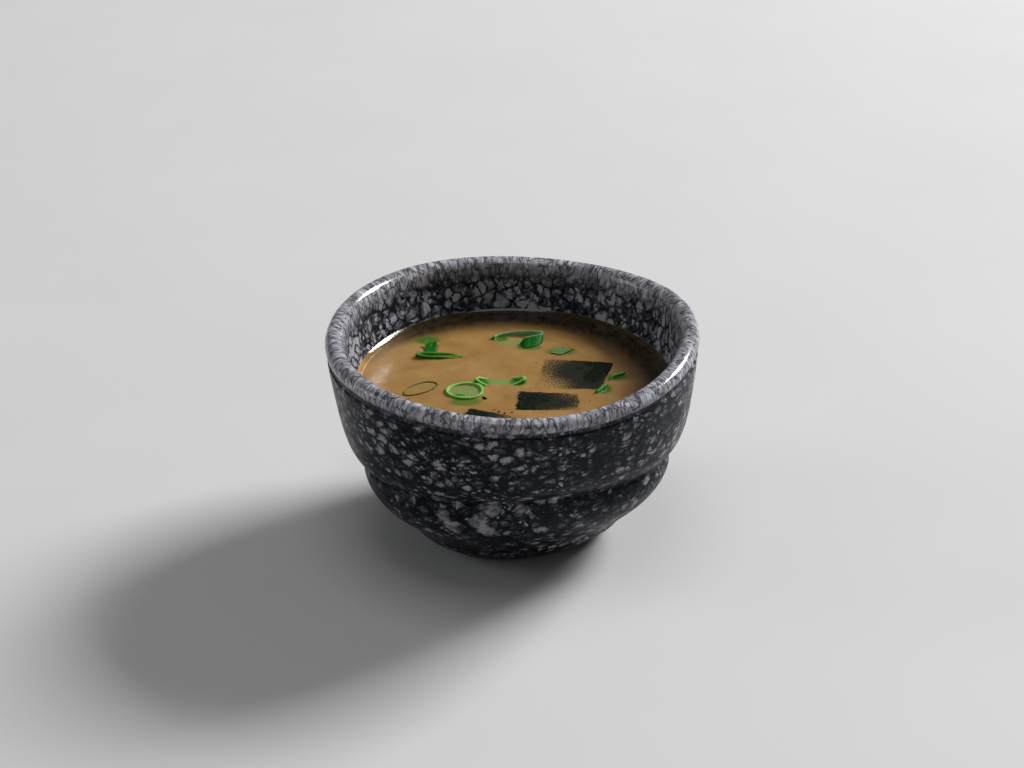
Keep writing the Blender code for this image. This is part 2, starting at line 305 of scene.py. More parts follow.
def make_stoneware():
    material, tree, shader, here = new_material("stone_glaze")
    lip = attribute(tree, "lip")
    groove_shade = attribute(tree, "groove_shade")
    bare = attribute(tree, "bare_clay")
    inner = attribute(tree, "inner_wall")

    # The mosaic on the walls: flattened outside, rounder inside, and broken up in places.
    across = step(tree, inner, 0.3, 0.7, 1.0, 1.1)
    upward = step(tree, inner, 0.3, 0.7, 1.45, 1.1)
    stretch = wire(tree, "ShaderNodeCombineXYZ", {0: across, 1: across, 2: upward})
    loose = warped(tree, warped(tree, warped(tree, here, 6.0, 3.6), 2.2, 0.9), 0.8, 0.7)
    flat = vectors(tree, "MULTIPLY", loose, stretch.outputs[0])
    large = cells_at(tree, flat, 4.0, 0.09)
    small = cells_at(tree, flat, 2.2, 0.11)
    broken = step(tree, cloud(tree, here, 8.0), 0.46, 0.60, 0.1, 0.95)
    pebbles = maths(tree, "MULTIPLY", large["Pebbles"], maths(tree, "SUBTRACT", 1.0, broken))
    pebbles = maths(tree, "ADD", pebbles, maths(tree, "MULTIPLY", small["Pebbles"], broken))
    mottle = maths(tree, "MULTIPLY", step(tree, cloud(tree, loose, 0.8, 3.0, 0.6), 0.3, 0.7, 0.55, 1.40),
                   step(tree, cloud(tree, here, 15.0), 0.35, 0.65, 0.78, 1.25))
    pebbles = maths(tree, "MULTIPLY", pebbles, mottle)
    patch = near_spots(tree, warped(tree, here, 2.5, 2.6), PALE_PATCHES)
    patch = maths(tree, "MULTIPLY", patch, step(tree, cloud(tree, loose, 1.6, 3.0), 0.3, 0.7, 0.62, 1.05))
    veins = maths(tree, "MULTIPLY", small["Veins"], broken)
    veins = maths(tree, "MAXIMUM", large["Veins"], veins)
    veins = maths(tree, "MULTIPLY", veins, step(tree, cloud(tree, here, 2.2), 0.36, 0.60, 0.25, 0.72))
    veins = maths(tree, "MULTIPLY", veins, step(tree, patch, 0.3, 0.6, 1.0, 0.2))
    web = maths(tree, "MULTIPLY", step(tree, cloud(tree, loose, 1.3, 4.0, 0.65), 0.38, 0.72), 0.30)
    pebbles = maths(tree, "ADD", pebbles, web)
    pebbles = maths(tree, "MAXIMUM", pebbles, patch)
    # Painted light: the inner wall is painted lighter than the outside.
    pebbles = maths(tree, "ADD", pebbles, step(tree, inner, 0.3, 0.7, 0.0, 0.24))
    # Paler flanks and back: partly a paler pattern, partly painted light from the key and side lamps.
    flank_pale_and_lit = maths(tree, "MULTIPLY", near_spots(tree, warped(tree, here, 9.0, 8.0), PALE_AND_LIT_FLANKS), 0.29)
    pebbles = maths(tree, "ADD", pebbles, flank_pale_and_lit)
    light = maths(tree, "MULTIPLY", pebbles, maths(tree, "SUBTRACT", 1.0, veins))
    wall = ramp(
        tree, light,
        (0.08, VEIN_BLACK), (0.30, grey(0.018, (0.88, 1.0, 1.26))), (0.50, grey(0.060, (0.95, 1.0, 1.16))),
        (0.72, grey(0.150, (0.99, 1.0, 1.10))), (1.00, grey(0.34, (1.0, 0.99, 1.10))))

    # The lip: the same mosaic, paler, and pulled a little into streaks that run across the lip.
    outward = vectors(tree, "NORMALIZE", vectors(tree, "MULTIPLY", here, (1.0, 1.0, 0.0)))
    around = vectors(tree, "MULTIPLY", outward, (57.0, 57.0, 57.0))
    drawn = vectors(tree, "ADD", around, vectors(tree, "MULTIPLY", here, (0.6, 0.6, 0.75)))
    drawn = warped(tree, warped(tree, drawn, 3.4, 3.2), 1.2, 1.2)
    streaks = cells_at(tree, drawn, 2.4, 0.09)
    hairs = step(tree, cloud(tree, drawn, 0.9, 4.0, 0.7), 0.48, 0.34)
    milky = cloud(tree, drawn, 2.6, 3.0)
    glow = maths(tree, "MULTIPLY", streaks["Pebbles"], 0.35)
    glow = maths(tree, "ADD", glow, maths(tree, "MULTIPLY", milky, 0.85))
    glow = maths(tree, "ADD", glow, step(tree, lip, 0.2, 0.95, -0.15, 0.14))
    pale = ramp(
        tree, glow,
        (0.30, grey(0.09, (0.99, 0.985, 1.12))), (0.50, grey(0.21, (0.99, 0.985, 1.11))),
        (0.70, grey(0.37, (0.99, 0.985, 1.09))), (0.95, grey(0.58, (0.99, 0.985, 1.07))))
    marks = maths(tree, "MULTIPLY", streaks["Veins"], step(tree, cloud(tree, drawn, 3.0), 0.36, 0.50))
    marks = maths(tree, "MAXIMUM", marks, maths(tree, "MULTIPLY", hairs, 0.75))
    pale = blend(tree, maths(tree, "MULTIPLY", marks, 0.8), pale, grey(0.022, (1.0, 0.92, 1.25)))
    rust = maths(tree, "MULTIPLY", near_spots(tree, here, RUST_SPOTS), step(tree, milky, 0.42, 0.6))
    pale = blend(tree, maths(tree, "MULTIPLY", rust, 0.55), pale, (0.42, 0.20, 0.09, 1.0))

    ragged = maths(tree, "ADD", lip, maths(tree, "MULTIPLY", cloud(tree, drawn, 1.4, 3.0), 0.7))
    colour = blend(tree, step(tree, ragged, 0.42, 0.95), wall, pale)
    # Painted shade: the grooves at the sides and the back are darkened towards black.
    colour = blend(tree, maths(tree, "MULTIPLY", groove_shade, 0.25), colour, VEIN_BLACK)
    grains = grain_at(tree, here, 0.5)
    clay = blend(tree, grains["Dark"], (0.16, 0.145, 0.13, 1.0), (0.05, 0.045, 0.04, 1.0))
    colour = blend(tree, bare, colour, clay)
    tree.links.new(colour, shader.inputs["Base Color"])

    roughness = step(tree, cloud(tree, here, 3.0), 0.3, 0.7, 0.30, 0.44)
    roughness = maths(tree, "SUBTRACT", roughness, maths(tree, "MULTIPLY", lip, 0.10))
    roughness = maths(tree, "MAXIMUM", roughness, maths(tree, "MULTIPLY", bare, 0.85))
    tree.links.new(roughness, shader.inputs["Roughness"])
    shader.inputs["Specular IOR Level"].default_value = 0.06
    shader.inputs["Coat Roughness"].default_value = 0.10
    gloss = maths(tree, "MULTIPLY", lip, step(tree, milky, 0.3, 0.6, 0.35, 0.75))
    tree.links.new(gloss, shader.inputs["Coat Weight"])
    height = maths(tree, "SUBTRACT", light, maths(tree, "MULTIPLY", veins, 0.5))
    rough = maths(tree, "MULTIPLY", grains["Height"], 0.12)
    height = maths(tree, "ADD", maths(tree, "MULTIPLY", height, 0.3), rough)
    bump(tree, shader, height, 0.12 * MM)
    return material


STONE_GLAZE = make_stoneware()
print("made", STONE_GLAZE.name)

# %% [markdown]
# ## The bowl's shape
#
# A potter turns the bowl on a wheel, so its outline is spun round the axis. It is then squeezed a
# little by hand: the rim is oval and waves up and down, and the waist groove waves too. The
# sizes below are the model's own, so the fine bowl fits it to a tenth of a millimetre;
# only the grooves under the lip and at the front of the waist are softer.

# %% The bowl's sizes
FOOT_RADIUS = 24.8 * MM
FOOT_RING_WIDTH = 3.4 * MM
FOOT_RECESS = 1.5 * MM
BASE_BAND = ((25.4, 0.2), (31.2, 4.6), (33.4, 7.7))
LOWER_BAND = ((33.4, 7.7), (42.4, 16.7), (46.2, 23.4), (46.7, 27.6), (45.7, 29.2))
UPPER_BAND = ((45.7, 29.2), (50.7, 34.7), (53.9, 43.0), (57.0, 57.6), (56.9, 59.6))
HEEL_HEIGHT = 7.7 * MM
WAIST_HEIGHT = 29.2 * MM
LIP_RADIUS = 55.4 * MM
RIM_HEIGHT = 65.6 * MM
LIP_OUTER = 2.5 * MM
LIP_INNER = 3.3 * MM
INNER_WALL = ((52.1, 62.3), (51.0, 57.0), (48.6, 49.8), (45.2, 40.0), (39.6, 28.0),
              (31.4, 17.4), (19.5, 10.4), (8.0, 8.3), (0.0, 8.0))
RIM_OVAL = 0.0455
BASE_OVAL = 0.0186
BASE_LOBES = 0.041
LOBE_TURN = 0.17
RIM_SADDLE = 1.3 * MM
RIM_TILT = 0.6 * MM
RIM_WAVE = 0.7 * MM
WAIST_SADDLE = 2.2 * MM
WAIST_TILT = 0.6 * MM
WAIST_FILL = 0.5 * MM               # the groove is this much shallower at the front
FLAW_SIZE = 9.0 * MM
FLAW_DEPTH = 0.10 * MM
LIP_FADE_OUTSIDE = (58.4, 65.4)     # heights in millimetres between which the wall becomes lip
LIP_FADE_INSIDE = (57.0, 65.0)

BOWL_SIDES = 288
CURVE_STEPS = 9
LIP_STEPS = 12


def smooth_line(knots, steps=CURVE_STEPS):
    """Points on a smooth line through the knots, which are given in millimetres."""
    knots = [Vector((radius, 0.0, height)) * MM for radius, height in knots]
    line = [knots[0]]
    for i, (start, end) in enumerate(zip(knots, knots[1:])):
        before = knots[max(i - 1, 0)]
        after = knots[min(i + 2, len(knots) - 1)]
        lead = start + (end - before) / 6
        trail = end - (after - start) / 6
        line += interpolate_bezier(start, lead, trail, end, steps + 1)[1:]
    return line


def lip_line():
    """The lip from its outer side over the top to the inner wall."""
    line = []
    for i in range(-LIP_STEPS * 2 // 3, LIP_STEPS):
        angle = math.radians(90) * i / LIP_STEPS
        line.append(Vector((
            LIP_RADIUS + LIP_OUTER * math.cos(angle),
            0.0,
            RIM_HEIGHT - LIP_OUTER + LIP_OUTER * math.sin(angle))))
    for i in range(LIP_STEPS):
        angle = math.radians(90) * i / LIP_STEPS
        line.append(Vector((
            LIP_RADIUS - LIP_INNER * math.sin(angle),
            0.0,
            RIM_HEIGHT - LIP_INNER + LIP_INNER * math.cos(angle))))
    return line


def rim_lift(angle):
    lift = RIM_TILT * math.sin(angle) + RIM_SADDLE * math.cos(2 * angle)
    return lift + RIM_WAVE * math.cos(3 * angle)


def waist_lift(angle):
    return WAIST_TILT * math.cos(angle) - WAIST_SADDLE * math.cos(2 * angle)


def hand_shape(point):
    """Where a point of the round, level bowl lies on the real, slightly uneven one."""
    x, y, z = point
    angle = math.atan2(y, x)
    up = z / RIM_HEIGHT
    swell = 1.0 - up * RIM_OVAL * math.cos(2 * angle)
    lobes = BASE_LOBES * math.cos(3 * (angle + LOBE_TURN)) + BASE_OVAL * math.cos(2 * angle)
    swell += (1.0 - up) * lobes
    if z < WAIST_HEIGHT:
        share = max(0.0, (z - HEEL_HEIGHT) / (WAIST_HEIGHT - HEEL_HEIGHT))
        lift = share * waist_lift(angle)
    else:
        share = (z - WAIST_HEIGHT) / (RIM_HEIGHT - WAIST_HEIGHT)
        lift = share * rim_lift(angle) + (1.0 - share) * waist_lift(angle)
    return Vector((x * swell, y * swell, z + lift))


# %% Turn the bowl
def turn(line, sides):
    """Spin an outline that starts and ends on the axis into a closed body."""
    bm = bmesh.new()
    verts = [bm.verts.new(point) for point in line]
    edges = [bm.edges.new(pair) for pair in zip(verts, verts[1:])]
    bmesh.ops.spin(
        bm, geom=verts + edges, cent=(0, 0, 0), axis=(0, 0, 1), angle=math.tau,
        steps=sides, use_merge=True)
    bmesh.ops.remove_doubles(bm, verts=bm.verts[:], dist=0.002 * MM)
    bmesh.ops.recalc_face_normals(bm, faces=bm.faces[:])
    return bm


def near_line(point, height, radius, reach):
    """How close a point of the round bowl is to a level line on it."""
    gap = math.hypot(math.hypot(point.x, point.y) - radius, point.z - height)
    return math.exp(-(gap / reach) ** 2)


def make_bowl():
    """The bowl, with where its lip, the painted shade in its grooves and its bare clay are."""
    ring_inside = FOOT_RADIUS - FOOT_RING_WIDTH
    ease_in = 0.5 * MM
    underside = [
        Vector((0.0, 0.0, FOOT_RECESS)),
        Vector((ring_inside * 0.5, 0.0, FOOT_RECESS)),
        Vector((ring_inside - FOOT_RECESS, 0.0, FOOT_RECESS)),
        Vector((ring_inside, 0.0, 0.0)),
        Vector((ring_inside + ease_in, 0.0, 0.0)),
        Vector((FOOT_RADIUS - ease_in, 0.0, 0.0)),
        Vector((FOOT_RADIUS, 0.0, 0.0)),
    ]
    bands = smooth_line(BASE_BAND) + smooth_line(LOWER_BAND)[1:] + smooth_line(UPPER_BAND)[1:]
    bm = turn(underside + bands + lip_line() + smooth_line(INNER_WALL), BOWL_SIDES)
    lip = bm.verts.layers.float.new("lip")
    groove_shade = bm.verts.layers.float.new("groove_shade")
    bare = bm.verts.layers.float.new("bare_clay")
    inner = bm.verts.layers.float.new("inner_wall")
    inner_points = smooth_line(INNER_WALL)
    for vert in bm.verts:
        point = vert.co.copy()
        radius = math.hypot(point.x, point.y)
        fade = LIP_FADE_OUTSIDE if radius > LIP_RADIUS - 0.5 * MM else LIP_FADE_INSIDE
        vert[lip] = ease(point.z / MM, *fade)
        # painted shade in the waist groove and above the heel, at the sides and the back only
        vert[groove_shade] = max(
            near_line(point, WAIST_HEIGHT, 45.7 * MM, 0.5 * MM),
            near_line(point, HEEL_HEIGHT, 33.4 * MM, 0.5 * MM)) * ease(point.y / MM, -37.0, -14.0)
        vert[inner] = float(min(abs(radius - p.x) + abs(point.z - p.z) for p in inner_points) < 0.05 * MM)
        vert[bare] = ease(point.z / MM, 0.25, 0.05)
        shaped = hand_shape(point)
        flaw = noise.noise(shaped / FLAW_SIZE) * FLAW_DEPTH
        outward = Vector((point.x, point.y, 0.0)).normalized()
        shaped += outward * flaw * ease(point.z / MM, 1.0, 6.0)
        waist = near_line(point, WAIST_HEIGHT, 45.7 * MM, 0.9 * MM)
        shaped += outward * waist * WAIST_FILL * ease(-outward.y, 0.35, 0.85)
        for axis in range(3):
            shaped[axis] = min(CAD_HIGH[axis], max(CAD_LOW[axis], shaped[axis]))
        vert.co = shaped
    return add_piece("stoneware_bowl", bm, SLOTS["bowl"], STONE_GLAZE, "bowl")


make_bowl()

# %% [markdown]
# ## Nori and leaf
#
# Nori is pressed seaweed: nearly black, grainy, with a torn edge, and it goes limp and wet in the
# soup. Soaked nori stays matt. Scallion leaf has a deep green, ribbed skin and a pale, wet
# inside, so its roughness is low, with a little grain to break up the shine.

# %% Garnish materials
def make_nori():
    material, tree, shader, here = new_material("wet_nori")
    grains = grain_at(tree, here, 0.5)
    fibres = cloud(tree, vectors(tree, "MULTIPLY", here, (0.7, 2.2, 1.0)), 1.2, 4.0, 0.65)
    colour = ramp(
        tree, fibres, (0.30, (0.002, 0.004, 0.002, 1.0)), (0.55, (0.005, 0.008, 0.004, 1.0)),
        (0.75, (0.013, 0.017, 0.010, 1.0)))
    specks = step(tree, grains["Height"], 0.50, 0.66, 0.0, 0.75)
    colour = blend(tree, specks, colour, (0.027, 0.031, 0.022, 1.0))
    colour = blend(tree, maths(tree, "MULTIPLY", grains["Dark"], 0.8), colour, (0.002, 0.003, 0.002, 1.0))
    tree.links.new(colour, shader.inputs["Base Color"])
    tree.links.new(step(tree, grains["Height"], 0.3, 0.7, 0.40, 0.7), shader.inputs["Roughness"])
    shader.inputs["Specular IOR Level"].default_value = 0.05
    bump(tree, shader, maths(tree, "ADD", grains["Height"], fibres), 0.12 * MM)
    return material


def make_leaf(name, skin, inside):
    """Scallion leaf, with the colours of its skin and of its inside."""
    material, tree, shader, here = new_material(name)
    along = wire(tree, "ShaderNodeUVMap").outputs["UV"]
    ribs = cloud(tree, vectors(tree, "MULTIPLY", along, (60.0, 1.6, 1.0)), 1.0, 2.0)
    blotch = cloud(tree, here, 1.8, 3.0)
    dark = blend(tree, 1.0, skin, grey(0.5), "MULTIPLY")
    light = blend(tree, 0.02, skin, inside)
    outside = blend(tree, step(tree, ribs, 0.35, 0.65), dark, light)
    within = blend(tree, step(tree, blotch, 0.35, 0.7), inside, blend(tree, 0.35, inside, skin))
    colour = blend(tree, attribute(tree, "skin"), within, outside)
    tree.links.new(colour, shader.inputs["Base Color"])
    tree.links.new(step(tree, blotch, 0.3, 0.7, 0.28, 0.48), shader.inputs["Roughness"])
    shader.inputs["Specular IOR Level"].default_value = 0.12
    bump(tree, shader, ribs, 0.06 * MM)
    return material


NORI = make_nori()
DEEP_LEAF = make_leaf("deep_leaf", (0.003, 0.150, 0.005, 1.0), (0.23, 0.38, 0.17, 1.0))
PALE_LEAF = make_leaf("pale_leaf", (0.110, 0.400, 0.035, 1.0), (0.26, 0.52, 0.12, 1.0))
WET_LEAF = make_leaf("wet_leaf", (0.030, 0.180, 0.008, 1.0), (0.09, 0.26, 0.035, 1.0))
SOFT_LEAF = make_leaf("soft_leaf", (0.150, 0.290, 0.085, 1.0), (0.28, 0.38, 0.17, 1.0))
FADED_LEAF = make_leaf("faded_leaf", (0.075, 0.100, 0.020, 1.0), (0.11, 0.13, 0.03, 1.0))
print("garnish materials:", NORI.name, DEEP_LEAF.name, PALE_LEAF.name, WET_LEAF.name, SOFT_LEAF.name)

# %% [markdown]
# ## Sheets of nori
#
# Each sheet is a grid whose corners are given as shares of the model node's box. Torn edges come
# from pulling the border in by an uneven amount. A corner may dip under the soup, and the sheet
# ripples a little as wet nori does.

# %% Make the sheets
MENISCUS_RISE = 0.9 * MM
SOUP_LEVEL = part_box("soup")[1][2] - MENISCUS_RISE
NORI_LIFT = 0.22 * MM
LEAF_LIFT = 0.45 * MM
SHEET_CELLS = 70
# corner places in shares of the box, front left first and then round to the right; and dips
SHEETS = {
    "nori_right": (((0.00, 0.05), (0.80, 0.00), (1.00, 0.83), (0.15, 1.00)), (2.8, 0.5, 0.0, 1.3)),
    "nori_front": (((0.00, 0.07), (1.00, 0.00), (0.98, 0.84), (0.06, 1.00)), (0.2, 1.5, 1.2, 0.1)),
    "nori_edge": (((0.00, 0.28), (0.82, 0.00), (1.00, 0.56), (0.19, 1.00)), (0.4, 1.3, 1.5, 0.0)),
    "scallion_leaf": (((0.00, 0.32), (0.46, 0.00), (1.00, 1.00), (0.12, 1.00)), (0.6, 0.4, 0.7, 0.5)),
    "scallion_chip": (((0.05, 0.00), (0.89, 0.00), (1.00, 1.00), (0.00, 1.00)), (0.3, 0.3, -0.9, -0.9)),
}


def make_sheet(node, material, lift, thickness, tear):
    """A thin torn sheet afloat between four corners."""
    low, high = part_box(node)
    corners, dips = SHEETS[node]
    corners = [Vector((low[0] + x * (high[0] - low[0]), low[1] + y * (high[1] - low[1]))) for x, y in corners]
    bm = bmesh.new()
    bm.loops.layers.uv.new("leaf")
    skin = bm.verts.layers.float.new("skin")
    bmesh.ops.create_grid(bm, x_segments=SHEET_CELLS, y_segments=SHEET_CELLS, size=0.5, calc_uvs=True)
    for vert in bm.verts:
        u, v = vert.co.x, vert.co.y
        border = ease(max(abs(u), abs(v)), 0.40, 0.5)
        nibbled = 0.5 + 0.5 * noise.noise(Vector((u * 26.0, v * 26.0, low[0] * 900.0)))
        bitten = 0.5 + 0.5 * noise.noise(Vector((u * 7.0, v * 7.0, low[1] * 900.0)))
        torn = tear * (0.35 * nibbled + 0.65 * bitten)
        u = 0.5 + u * (1.0 - border * torn)
        v = 0.5 + v * (1.0 - border * torn)
        place = corners[0].lerp(corners[1], u).lerp(corners[3].lerp(corners[2], u), v)
        shares = ((1 - u) * (1 - v), u * (1 - v), u * v, (1 - u) * v)
        dip = sum(share * abs(share) * depth * MM for share, depth in zip(shares, dips))
        ripple = 0.10 * MM * math.sin(9 * u + 2 * v) * math.cos(7 * v - 3 * u)
        ripple += 0.06 * MM * noise.noise(Vector((place.x, place.y, 0.0)) / (1.4 * MM))
        vert.co = (place.x, place.y, SOUP_LEVEL + lift - dip + ripple)
        vert[skin] = 1.0
    under = bmesh.ops.extrude_face_region(bm, geom=bm.faces[:], use_keep_orig=True)["geom"]
    under = [item for item in under if isinstance(item, bmesh.types.BMVert)]
    bmesh.ops.translate(bm, vec=(0.0, 0.0, -thickness), verts=under)
    bmesh.ops.recalc_face_normals(bm, faces=bm.faces[:])
    return add_piece("fine_" + node, bm, SLOTS[node], material, node)


NORI_PIECES = [
    make_sheet("nori_right", NORI, NORI_LIFT, 0.22 * MM, 0.10),
    make_sheet("nori_front", NORI, NORI_LIFT, 0.22 * MM, 0.20),
    make_sheet("nori_edge", NORI, NORI_LIFT, 0.22 * MM, 0.24)]
CHIP_PIECES = [
    make_sheet("scallion_leaf", SOFT_LEAF, LEAF_LIFT, 0.3 * MM, 0.25),
    make_sheet("scallion_chip", DEEP_LEAF, LEAF_LIFT, 0.3 * MM, 0.12)]

# %% [markdown]
# ## Slices of scallion
#
# A slice is a short tube of leaf. Its wall is a thin, round-edged strip, rolled into a ring and
# pressed flat. A grid is rolled both ways, like a hose: once along the slice's line, and once
# round the wall's own thin section. Each slice stands partly in the soup, so the lower line
# of the wall lies under the level and the upper line over it.

# %% Roll a leaf wall
STRIP_WALL = 1.15 * MM


def wall_section(rows=7, cap_steps=4):
    """The wall's section as (side, height share, how far past the end), once round."""
    up = [(1.0, row / rows, 0.0) for row in range(rows + 1)]
    over = [(math.cos(math.pi * i / cap_steps), 1.0, math.sin(math.pi * i / cap_steps))
            for i in range(1, cap_steps)]
    down = [(-side, 1.0 - height, past) for side, height, past in up]
    under = [(-side, 0.0, -past) for side, height, past in over]
    return up + over + down + under


def roll_leaf(node, line, closed, thickness, material, steps):
    """A leaf wall along a line. line(share) gives its lower and its upper point."""
    section = wall_section()
    low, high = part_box(node)
    bm = bmesh.new()
    bm.loops.layers.uv.new("leaf")
    skin = bm.verts.layers.float.new("skin")
    bmesh.ops.create_grid(bm, x_segments=steps, y_segments=len(section), size=0.5, calc_uvs=True)
    for vert in bm.verts:
        share = vert.co.x + 0.5
        side, height, past = section[round((vert.co.y + 0.5) * len(section)) % len(section)]
        foot, rim = line(share)
        ahead = line(min(share + 0.004, 1.0) if not closed else share + 0.004)
        behind = line(max(share - 0.004, 0.0) if not closed else share - 0.004)
        along = (ahead[1] + ahead[0] - behind[1] - behind[0])
        outward = Vector((along.y, -along.x, 0.0)).normalized()
        rise = (rim - foot).normalized()
        half = 0.5 * thickness * (0.85 + 0.3 * noise.noise(Vector((share * 9.0, height * 2.0, foot.x * 300))))
        point = foot.lerp(rim, height) + outward * side * half + rise * past * half * 0.8
        for axis, slack in enumerate((0.0, 0.0, 0.2 * MM)):
            point[axis] = min(high[axis] + slack, max(low[axis], point[axis]))
        vert.co = point
        vert[skin] = ease(side, 0.3, 0.95)
    bmesh.ops.remove_doubles(bm, verts=bm.verts[:], dist=0.002 * MM)
    if not closed:
        bmesh.ops.holes_fill(bm, edges=[edge for edge in bm.edges if edge.is_boundary], sides=0)
    bmesh.ops.recalc_face_normals(bm, faces=bm.faces[:])
    return add_piece("fine_" + node, bm, SLOTS[node], material, node)


# %% Make the slices
SLICES = {                          # sizes in millimetres, angles in degrees
    "scallion_back": dict(
        middle=(1.3, 25.2), half=(8.0, 5.0), shift=(0.5, 2.0), rim_half=(7.6, 3.4), depth=0.5,
        foot_tip=0.8, foot_toward=300, rise=1.5, tip=0.7, toward=335, notch=(232, 58, 2.6),
        wall=0.85 * MM, material=DEEP_LEAF),
    "scallion_left": dict(
        middle=(-22.4, 15.2), half=(6.9, 1.6), depth=1.3, rise=0.4, tip=0.6, toward=180,
        wall=1.2 * MM, material=WET_LEAF),
    "scallion_ring": dict(
        middle=(-14.0, -9.8), half=(5.3, 5.1), depth=2.6, rise=0.35, tip=0.1, toward=80,
        wall=1.3 * MM, material=PALE_LEAF),
    "scallion_band": dict(
        middle=(-3.6, -3.4), half=(7.3, 2.6), depth=1.5, rise=0.30, curl=1.05,
        wall=1.2 * MM, material=PALE_LEAF),
    "scallion_hoop": dict(
        middle=(-27.3, -7.4), half=(5.9, 3.0), turn_deg=42, depth=1.2, rise=0.14,
        wall=0.6 * MM, material=FADED_LEAF),
}


def slice_line(middle, half, depth, rise, shift=(0.0, 0.0), rim_half=None, turn_deg=0.0, foot_tip=0.0,
               foot_toward=0.0, tip=0.0, toward=0.0, curl=0.0, notch=None):
    """The lower and the upper line of a pressed ring, as a function of the share of the way round.

    A notch is where the upper line drops: its direction, its half width, both in degrees, and its depth.
    """
    facing = Matrix.Rotation(math.radians(turn_deg), 2)

    def line(share):
        angle = math.tau * share
        spread = 1.0 + 0.035 * math.sin(3 * angle + middle[0])
        foot = facing @ Vector((half[0] * math.cos(angle), half[1] * math.sin(angle)))
        size = rim_half or half
        rim = facing @ Vector((size[0] * math.cos(angle), size[1] * math.sin(angle))) * spread
        foot_z = -depth + foot_tip * math.cos(angle - math.radians(foot_toward))
        rim_z = rise + tip * math.cos(angle - math.radians(toward)) + curl * math.cos(2 * angle)
        rim_z += 0.06 * math.sin(5 * angle + middle[1])
        if notch:
            away = math.degrees(math.acos(math.cos(angle - math.radians(notch[0]))))
            drop = notch[2] * ease(away, notch[1], notch[1] * 0.6)
            rim_z -= drop
            foot_z -= drop
        return (
            Vector((middle[0] + foot.x, middle[1] + foot.y, foot_z)) * MM + Vector((0, 0, SOUP_LEVEL)),
            Vector((middle[0] + shift[0] + rim.x, middle[1] + shift[1] + rim.y, rim_z)) * MM
            + Vector((0, 0, SOUP_LEVEL)))
    return line


SLICE_PIECES = []
for node, sizes in SLICES.items():
    sizes = dict(sizes)
    material = sizes.pop("material")
    wall = sizes.pop("wall")
    SLICE_PIECES.append(roll_leaf(node, slice_line(**sizes), True, wall, material, 144))

STRIP_LINE = ((33.7, 0.9), (29.9, -2.2), (28.5, -5.0), (27.8, -8.0), (24.8, -12.0))
STRIP_TOP = (0.6, 0.9, -0.5, 1.0, 0.5)
STRIP_DEPTH = 1.4


def strip_line(share):
    """The split slice's lower and upper point."""
    place = share * (len(STRIP_LINE) - 1)
    i = min(int(place), len(STRIP_LINE) - 2)
    part = place - i
    x, y = (a + (b - a) * part for a, b in zip(STRIP_LINE[i], STRIP_LINE[i + 1]))
    top = STRIP_TOP[i] + (STRIP_TOP[i + 1] - STRIP_TOP[i]) * ease(part, 0.0, 1.0)
    level = Vector((0, 0, SOUP_LEVEL))
    return Vector((x, y, -STRIP_DEPTH)) * MM + level, Vector((x, y, top)) * MM + level


SLICE_PIECES.append(roll_leaf("scallion_strip", strip_line, False, STRIP_WALL, WET_LEAF, 60))

# %% [markdown]
# ## The soup
#
# Miso soup is cloudy: light goes a millimetre or two in and comes back tan, so it can be an
# opaque surface with a wet shine. Four things make it read as liquid. It climbs the wall and
# the garnish in a small curve. What lies just under the surface shows as a dim, soft-edged
# stain. The miso itself gathers into faint clouds. And near the wall at the back and the right
# the surface is painted nearly black: painted shadow of the wall and painted reflection of the dark glaze.
#
# The surface is spun like the bowl, with rings close enough together to carry the stains and the
# painted shade as vertex attributes: nori below, leaf below, painted wall shade, and a pale film
# where a slice holds broth in.

# %% Broth material
def make_broth():
    material, tree, shader, here = new_material("cloudy_broth")
    plane = vectors(tree, "MULTIPLY", here, (1.0, 1.0, 0.0))
    billow = cloud(tree, warped(tree, plane, 14.0, 9.0), 11.0, 4.0, 0.55)
    puffs = cloud(tree, warped(tree, plane, 4.0, 3.0), 3.0, 3.0)
    grains = grain_at(tree, plane, 0.45)
    colour = ramp(
        tree, billow, (0.30, (0.290, 0.153, 0.043, 1.0)), (0.52, (0.350, 0.196, 0.062, 1.0)),
        (0.75, (0.415, 0.248, 0.092, 1.0)))
    colour = blend(tree, step(tree, puffs, 0.55, 0.8, 0.0, 0.2), colour, (0.47, 0.31, 0.13, 1.0))
    colour = blend(tree, maths(tree, "MULTIPLY", grains["Light"], 0.12), colour, (0.60, 0.42, 0.20, 1.0))
    colour = blend(tree, maths(tree, "MULTIPLY", grains["Dark"], 0.14), colour, (0.15, 0.07, 0.02, 1.0))
    # Painted shadow and reflection of the wall: nearly black near the wall at the back and the right.
    wall_shade = maths(tree, "MULTIPLY", attribute(tree, "painted_wall_shade"), step(tree, puffs, 0.2, 0.7, 1.0, 0.9))
    colour = blend(tree, wall_shade, colour, (0.009, 0.008, 0.005, 1.0))
    film = attribute(tree, "film")
    colour = blend(tree, maths(tree, "MULTIPLY", film, 0.85), colour, (0.17, 0.29, 0.09, 1.0))
    leaf = maths(tree, "MULTIPLY", attribute(tree, "leaf_below"), step(tree, puffs, 0.2, 0.6, 0.8, 1.0))
    colour = blend(tree, leaf, colour, (0.030, 0.15, 0.010, 1.0))
    speckle = step(tree, grain_at(tree, plane, 0.55)["Height"], 0.32, 0.68)
    nori = attribute(tree, "nori_below")
    shade = step(tree, maths(tree, "ADD", nori, maths(tree, "MULTIPLY", speckle, 0.45)), 0.35, 1.0)
    colour = blend(tree, maths(tree, "MULTIPLY", shade, 0.985), colour, (0.010, 0.014, 0.010, 1.0))
    tree.links.new(colour, shader.inputs["Base Color"])
    tree.links.new(step(tree, puffs, 0.3, 0.7, 0.07, 0.13), shader.inputs["Roughness"])
    shader.inputs["IOR"].default_value = 1.34
    bump(tree, shader, maths(tree, "ADD", puffs, maths(tree, "MULTIPLY", grains["Height"], 0.25)), 0.05 * MM)
    return material


BROTH = make_broth()
print("made", BROTH.name)

# %% What shows through the broth
def plan(point):
    return Vector((point.x, point.y, 0.0))


